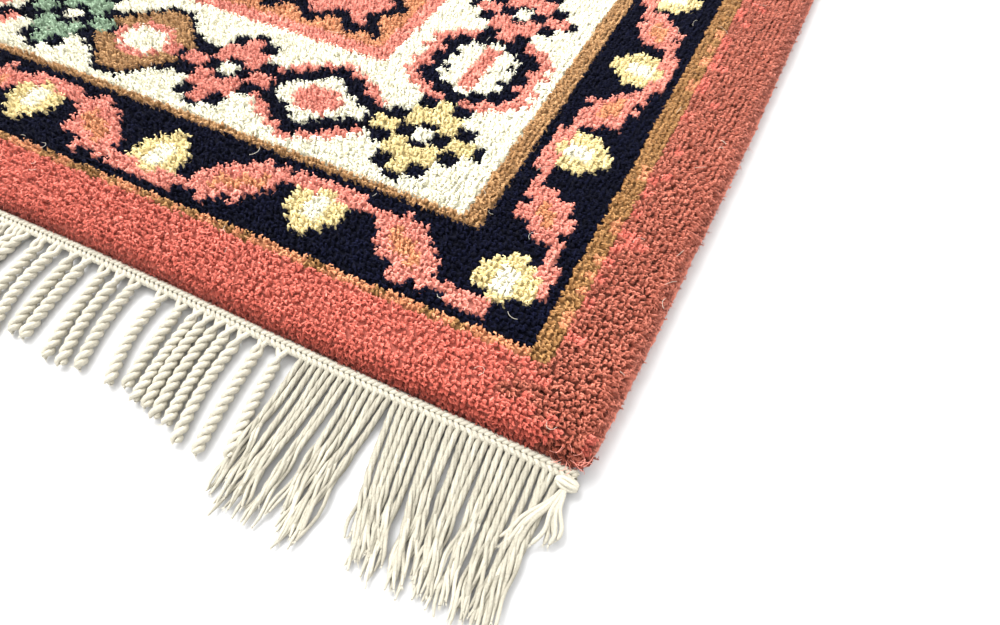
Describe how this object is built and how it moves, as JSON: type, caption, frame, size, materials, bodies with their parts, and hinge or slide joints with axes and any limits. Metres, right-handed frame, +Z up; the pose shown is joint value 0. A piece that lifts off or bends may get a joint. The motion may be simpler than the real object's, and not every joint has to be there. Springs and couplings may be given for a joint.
{
  "type": "oriental rug",
  "caption": "Flat hand-knotted wool pile rug with a flowered ivory border, navy vine border and coral edge bands, and a knotted cotton warp fringe at each end.",
  "frame": {"origin": "centre of the whole part's bounding box, on the floor under it", "axes": "+Z up off the floor, +Y along the rug's length towards the back fringe, +X across the rug"},
  "size_m": [0.5958, 1.0224, 0.013],
  "materials": {
    "wool_pile": "clipped wool pile in coral, navy, ivory, brown, yellow and green",
    "cotton_fringe": "undyed plied cotton"
  },
  "bodies": {
    "root": {"rug": "wool_pile", "fringe_front": "cotton_fringe", "fringe_back": "cotton_fringe"}
  },
  "joints": []
}
